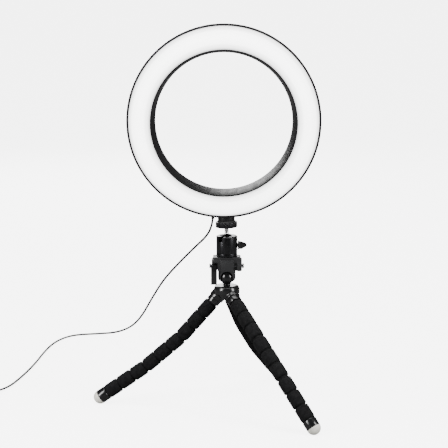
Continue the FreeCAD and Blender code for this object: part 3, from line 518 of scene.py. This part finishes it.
def turned(profile, steps=64):
    """A bmesh turned about Z from an outline of (radius, height) in millimetres."""
    bm = bmesh.new()
    verts = [bm.verts.new((r * MM, 0, z * MM)) for r, z in profile]
    edges = [bm.edges.new(pair) for pair in zip(verts, verts[1:])]
    bmesh.ops.spin(bm, geom=verts + edges, cent=(0, 0, 0), axis=(0, 0, 1),
                   angle=2 * math.pi, steps=steps, use_merge=True)
    bmesh.ops.remove_doubles(bm, verts=bm.verts, dist=1e-7)
    bmesh.ops.recalc_face_normals(bm, faces=bm.faces)
    return bm


def along(spot, direction):
    """The transform that puts the origin at a spot, with Z along a direction."""
    return Matrix.Translation(spot) @ direction.to_track_quat("Z", "Y").to_matrix().to_4x4()


def piece(name, bm, material, body, replaces=(), place=None, angle=38):
    """Make a finished piece of a bmesh, smooth but for its sharp edges, and let it ride."""
    if place is not None:
        bmesh.ops.transform(bm, matrix=place, verts=bm.verts)
    mesh = bpy.data.meshes.new(name)
    bm.to_mesh(mesh)
    bm.free()
    mesh.materials.append(material)
    for face in mesh.polygons:
        face.use_smooth = True
    mesh.set_sharp_from_angle(angle=math.radians(angle))
    obj = link(bpy.data.objects.new(name, mesh))
    if body:
        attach(obj, body)
    if replaces:
        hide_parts(*replaces)
    return obj


def copied(node):
    """A bmesh of a CAD part, merged, with its flat faces whole again."""
    bm = bmesh.new()
    bm.from_mesh(nodes[node].data)
    bmesh.ops.remove_doubles(bm, verts=bm.verts, dist=MERGE)
    bmesh.ops.dissolve_limit(bm, angle_limit=math.radians(1.5), verts=bm.verts, edges=bm.edges,
                             delimit=set())
    return bm


def refined(node, material, body, width, segments=2, angle=35):
    """A CAD part with its edges rounded, in a finished material."""
    bm = copied(node)
    soften(bm, width * MM, angle, segments)
    return piece(node + "_finished", bm, material, body, (node,))


def paint_node(node, material):
    """Give a CAD part that keeps its shape a finished material."""
    for slot in nodes[node].material_slots:
        slot.material = material


# Ring --------------------------------------------------------------------------------------------

# The section of the diffuser as (radius, height over the ring's back): outer face, lip, inner face.
DIFFUSER_SECTION = (
    (97.15, 5.2), (97.15, 6.6), (96.45, 10.2), (94.7, 14.6), (91.7, 19.4), (87.7, 23.4),
    (82.6, 25.4), (78.2, 25.2), (75.6, 24.4), (74.2, 23.35), (75.6, 23.2), (75.7, 21.2),
    (77.1, 21.2), (77.2, 22.8), (82.6, 23.8), (86.7, 22.1), (90.4, 18.6), (93.3, 14.1),
    (94.9, 10.0), (95.5, 6.6), (95.5, 5.2), (97.15, 5.2),
)


def make_ring(black, opal):
    """The ring's shell and its domed diffuser."""
    low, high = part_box("back_shell")
    centre = (low + high) / 2
    # In the ring's own frame Z points out of the light's face, from its back.
    place = Matrix.Translation((centre.x, high.y, centre.z)) @ Matrix.Rotation(math.pi / 2, 4, "X")
    refined("back_shell", black, "ring_head", 0.35)
    cover = turned(DIFFUSER_SECTION, steps=144)
    dome = piece("diffuser_dome", cover, opal, "ring_head", ("diffuser",), place, 60)
    round_off = dome.modifiers.new("round", "SUBSURF")
    round_off.levels = round_off.render_levels = 1


def make_head(black, glossy_black):
    """Mount boss, lock disc, pad, stud, barrel and wing knob."""
    refined("mount_boss", black, "ring_head", 0.5)
    refined("lock_disc", anodised("disc_anodised"), "lock_disc", 0.18)
    refined("rubber_pad", rubber("pad_rubber", (0.02, 0.02, 0.02), 0.75, 900), "lock_disc",
            0.25)
    refined("ball_stem", ball_and_stem(), "ring_head", 0.12)
    refined("barrel", anodised("barrel_anodised"), "barrel", 0.3, 3)
    refined("wing_knob", glossy_black, "clamp_knob", 0.5, 3, 30)


def make_block(black, glossy_black, steel):
    """Clamp block, release plate, and the lever with its bolt and nut."""
    refined("release_plate", black, "clamp_block", 0.3)
    refined("clamp_block", black, "clamp_block", 0.35)
    refined("clamp_lever", glossy_black, "clamp_lever", 0.7, 3, 30)
    refined("clamp_bolt", steel, "clamp_lever", 0.25)
    refined("bolt_nut", steel, "clamp_block", 0.2)


# Stand -------------------------------------------------------------------------------------------

LEGS = ("left_leg", "right_leg", "rear_leg")
LEG_PARTS = ("upper", "middle", "lower")
HUB_VOXEL = 0.45 * MM
HUB_SMOOTHINGS = 7


def make_hub(glossy_black):
    """The hub's shoulders flow into each other, so its mesh is rebuilt and smoothed."""
    bm = bmesh.new()
    bm.from_mesh(nodes["hub"].data)
    bmesh.ops.remove_doubles(bm, verts=bm.verts, dist=MERGE)
    hub = piece("hub_shell", bm, glossy_black, "hub", ("hub",), None, 180)
    rebuild = hub.modifiers.new("rebuild", "REMESH")
    rebuild.mode = "VOXEL"
    rebuild.voxel_size = HUB_VOXEL
    rebuild.use_smooth_shade = True
    flow = hub.modifiers.new("flow", "SMOOTH")
    flow.factor = 0.5
    flow.iterations = HUB_SMOOTHINGS
    refined("hub_ball", glossy_black, "hub", 0.15)
    refined("leg_collars", glossy_black, "hub", 0.6, 3)


def leg_line(name):
    """Where the three parts of a leg bend, and the middle of its ferrule."""
    return [joint_place(f"{name}_{part}_bend") for part in LEG_PARTS] + [middle(name + "_ferrule")]


# The foam's beads, their pitch, the grooves between them and the hole for the core, in millimetres.
FOAM = 7.5
NECK = 6.1
PITCH = 16.75
GROOVE = 1.7
BEADS = 3
CORE_HOLE = 2.6
# How much one bead's radius differs from another's.
UNEVEN = 0.07
# How far the end of a bead is rounded over, and the end beside a bend.
EDGE = 0.8
END_EDGE = 1.75
# The neck at a bend reaches a little into the beads beside it, and is thinnest in its middle.
NECK_REACH = GROOVE / 2 + 0.3
NECK_END = NECK - 0.2
NECK_WAIST = NECK - 0.35


def bead_profile(low, high, radius, first, last):
    """One bead of foam, its ends rounded over and its side a little proud."""
    return (
        (NECK, low), (radius - first, low), (radius - first * 0.3, low + first * 0.33),
        (radius, low + first * 1.2), (radius + 0.05, (low + high) / 2),
        (radius, high - last * 1.2), (radius - last * 0.3, high - last * 0.33),
        (radius - last, high), (NECK, high),
    )


def sleeve_profile(leg, part):
    """The outline of one length of foam: its beads, each of its own size, and its two open ends."""
    profile = [(CORE_HOLE, GROOVE / 2)]
    for k in range(BEADS):
        size = FOAM + UNEVEN * noise.noise(Vector((leg * 7.1, part * 3.3, k * 1.7)))
        profile += bead_profile(PITCH * k + GROOVE / 2, PITCH * (k + 1) - GROOVE / 2, size,
                                EDGE if k else END_EDGE, EDGE if k < BEADS - 1 else END_EDGE)
    profile.append((CORE_HOLE, PITCH * BEADS - GROOVE / 2))
    return profile


def make_neck(cover, body, spot, way):
    """The foam at a bend, turned along the part that starts there."""
    place = along(spot, way)
    neck = turned(((NECK_END, -NECK_REACH), (NECK_WAIST, 0), (NECK_END, NECK_REACH)), 48)
    bmesh.ops.subdivide_edges(neck, edges=neck.edges, cuts=2)
    joined = piece(f"{body}_neck", neck, cover, None, (), place, 80)
    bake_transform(joined)


def make_legs(cover, glossy_black, cream):
    """Three legs, each of three lengths of foam, an end ferrule and a foot."""
    for leg, name in enumerate(LEGS):
        line = leg_line(name)
        parent = "hub"
        for j, part in enumerate(LEG_PARTS):
            body = f"{name}_{part}"
            way = (line[j + 1] - line[j]).normalized()
            sleeve = turned(sleeve_profile(leg, j), 48)
            piece(f"{body}_foam", sleeve, cover, body, (body + "_sleeve",),
                  along(line[j], way), 60)
            make_neck(cover, body, line[j], way)
            parent = body
        refined(name + "_ferrule", glossy_black, parent, 0.7, 3)
        refined(name + "_foot", cream, parent, 0.3)


# Controller and plug -----------------------------------------------------------------------------

# A sleeve on the lead, in millimetres: its bore and ribs, and where it starts to narrow. A rib
# takes its share of each pitch, and the rest is a groove with a short slope at both ends.
RELIEF_BORE = 0.9
RELIEF_WIDE = 2.62
RELIEF_NARROW = 1.42
RELIEF_LENGTH = 10.0
RELIEF_INSIDE = 0.5
RELIEF_TAPER = 5.2
RELIEF_RIBS = 8
RIB_SHARE = 0.72
RIB_DEPTH = 0.18
RIB_SLOPE = 0.1
# How much of a CAD relief is on the body of the controller or the plug.
CAD_RELIEF = 5
# The tie round the coil, in millimetres: where it sits, its strap, and its two twisted tails.
TIE_ANGLE = -90
TIE_WIDTH = 3.4
TIE_TOP = 8.9
TIE_SLACK = 0.1
TIE_THICK = 0.35
TAIL_AWAY = 0.45
TAIL_WIDTH = 1.1
TAIL_STEPS = 18
TAIL_TURNS = 1.6
TAIL_LENGTH = 7.0


def strain_relief(name, spot, way, grip):
    """A ribbed sleeve that tapers onto the lead, from the place where the lead is held."""
    profile = [(RELIEF_BORE, -RELIEF_INSIDE), (RELIEF_WIDE, -RELIEF_INSIDE)]
    for k in range(RELIEF_RIBS):
        start = RELIEF_LENGTH * k / RELIEF_RIBS
        end = RELIEF_LENGTH * (k + RIB_SHARE) / RELIEF_RIBS
        share = max((start - RELIEF_TAPER) / (RELIEF_LENGTH - RELIEF_TAPER), 0)
        radius = RELIEF_WIDE + (RELIEF_NARROW - RELIEF_WIDE) * share
        profile += [(radius, start), (radius, end), (radius - RIB_DEPTH, end + RIB_SLOPE)]
        profile.append((radius - RIB_DEPTH, RELIEF_LENGTH * (k + 1) / RELIEF_RIBS - RIB_SLOPE))
    profile += [(RELIEF_NARROW, RELIEF_LENGTH), (RELIEF_BORE, RELIEF_LENGTH)]
    return piece(name, turned(profile, 32), grip, "barrel", (), along(spot, way),
                 30)


def hull(points):
    """The corners of the smallest convex outline round some points, in order."""
    def turn(a, b, c):
        return (b[0] - a[0]) * (c[1] - a[1]) - (b[1] - a[1]) * (c[0] - a[0])

    def half(ordered):
        chain = []
        for point in ordered:
            while len(chain) > 1 and turn(chain[-2], chain[-1], point) <= 0:
                chain.pop()
            chain.append(point)
        return chain[:-1]

    ordered = sorted(points)
    return half(ordered) + half(ordered[::-1])


def make_tie(strap):
    """A flat tie round the turns of the coil, with its two ends twisted together on top."""
    reach = LEAD_DIAMETER / 2 / MM + TIE_SLACK
    ring = [(out + reach * math.cos(a), high + reach * math.sin(a))
            for out, high in COIL_LAYERS for a in (math.tau * k / 12 for k in range(12))]
    bm = bmesh.new()
    loop = [bm.verts.new((out * MM, high * MM, -TIE_WIDTH / 2 * MM)) for out, high in hull(ring)]
    edges = [bm.edges.new(pair) for pair in zip(loop, loop[1:] + loop[:1])]
    drawn = bmesh.ops.extrude_edge_only(bm, edges=edges)["geom"]
    bmesh.ops.translate(bm, vec=(0, 0, TIE_WIDTH * MM),
                        verts=[v for v in drawn if isinstance(v, bmesh.types.BMVert)])
    for side in (-1, 1):
        end = [bm.verts.new((TAIL_AWAY * side * MM, TIE_TOP * MM, k * TAIL_WIDTH / 2 * MM))
               for k in (-1, 1)]
        bmesh.ops.spin(bm, geom=[*end, bm.edges.new(end)], cent=(0, 0, 0), axis=(0, 1, 0),
                       dvec=(0, TAIL_LENGTH / TAIL_STEPS * MM, 0),
                       angle=math.tau * TAIL_TURNS, steps=TAIL_STEPS)
    bmesh.ops.recalc_face_normals(bm, faces=bm.faces)
    angle = math.radians(TIE_ANGLE)
    outward = Vector((math.cos(angle), math.sin(angle), 0))
    spot = STACK + Vector((*COIL_MIDDLE, 0)) * MM + outward * COIL_RADIUS * MM
    frame_of_tie = Matrix((outward, UP, outward.cross(UP))).transposed().to_4x4()
    tie = piece("coil_tie", bm, strap, "barrel", (),
                Matrix.Translation(spot) @ frame_of_tie, 60)
    wall = tie.modifiers.new("wall", "SOLIDIFY")
    wall.thickness = TIE_THICK * MM
    wall.offset = 1
    return tie


def make_lead_ends():
    """The controller, the plug, the gland, the sleeves that the lead leaves them by, and a tie."""
    plastic = moulded("controller_plastic", (0.012, 0.012, 0.013), 0.46, shine=0.35)
    grey = moulded("button_plastic", (0.42, 0.42, 0.43), 0.45)
    grip = rubber("plug_grip", (0.012, 0.012, 0.012), 0.5, 900)
    made = [
        refined("controller_base", plastic, "barrel", 0.9, 3),
        refined("controller_top", plastic, "barrel", 0.9, 3),
        refined("usb_plug", grip, "barrel", 0.8, 3),
        refined("usb_sleeve", metal("plug_steel", (0.75, 0.75, 0.76), 0.2, (1, 1, 4)), "barrel",
                0.12),
        refined("cord_gland", grip, "ring_head", 0.3),
        nodes["controller_board"],
    ]
    for side in ("left", "middle", "right"):
        made.append(refined(side + "_button", grey, side + "_button", 0.5, 3))
    # Each sleeve starts at the end of its CAD relief that is on the body of the controller or plug.
    for name, held, free in (("controller_near_relief", LEAD_RUN[-1], LEAD_RUN[-2]),
                             ("controller_far_relief", LEAD_TO_COIL[0], LEAD_TO_COIL[1]),
                             ("plug_relief", LEAD_TO_PLUG[-1], LEAD_TO_PLUG[-2])):
        way = (Vector(free) - Vector(held)).normalized()
        spot = STACK + (Vector(held) - way * CAD_RELIEF) * MM
        made.append(strain_relief(name, spot, way, grip))
    made.append(make_tie(moulded("tie_plastic", (0.012, 0.012, 0.012), 0.4)))
    return made


def paint_hidden_parts(steel):
    """Parts inside the object keep their CAD shape."""
    white = moulded("white_tray", (0.85, 0.85, 0.84), 0.3)
    board = moulded("circuit_board", (0.82, 0.82, 0.78), 0.45)
    nylon = moulded("nylon", (0.7, 0.7, 0.66), 0.4)
    dark_nylon = moulded("nylon_black", (0.01, 0.01, 0.01), 0.4)
    brass = metal("insert_brass", (0.78, 0.6, 0.3), 0.3)
    wire = metal("core_wire", (0.6, 0.6, 0.6), 0.35)
    for names, material in (
        (("reflector_tray",), white), (("led_board", "controller_board"), board),
        (("ball_seat",), nylon), (("block_liner",), dark_nylon), (("thread_insert",), brass),
        (("shell_screws", "plate_screws", "clamp_screw"), steel),
        ([f"{leg}_{part}_core" for leg in LEGS for part in LEG_PARTS], wire),
    ):
        for name in names:
            paint_node(name, material)


shell_black = moulded("shell_black", (0.009, 0.009, 0.0095), 0.44, shine=0.25)
block_black = moulded("block_black", (0.018, 0.018, 0.019), 0.38)
gloss_black = glossy("gloss_black", (0.005, 0.005, 0.0055))
screw_steel = metal("screw_steel", (0.2, 0.2, 0.21), 0.3)
make_ring(shell_black, painted_glow_diffuser())
make_head(shell_black, gloss_black)
make_block(block_black, gloss_black, screw_steel)
make_hub(gloss_black)
make_legs(foam(), gloss_black, rubber("foot_cream", (0.82, 0.805, 0.72), 0.6, 500))
make_lead(make_lead_ends())
paint_hidden_parts(screw_steel)
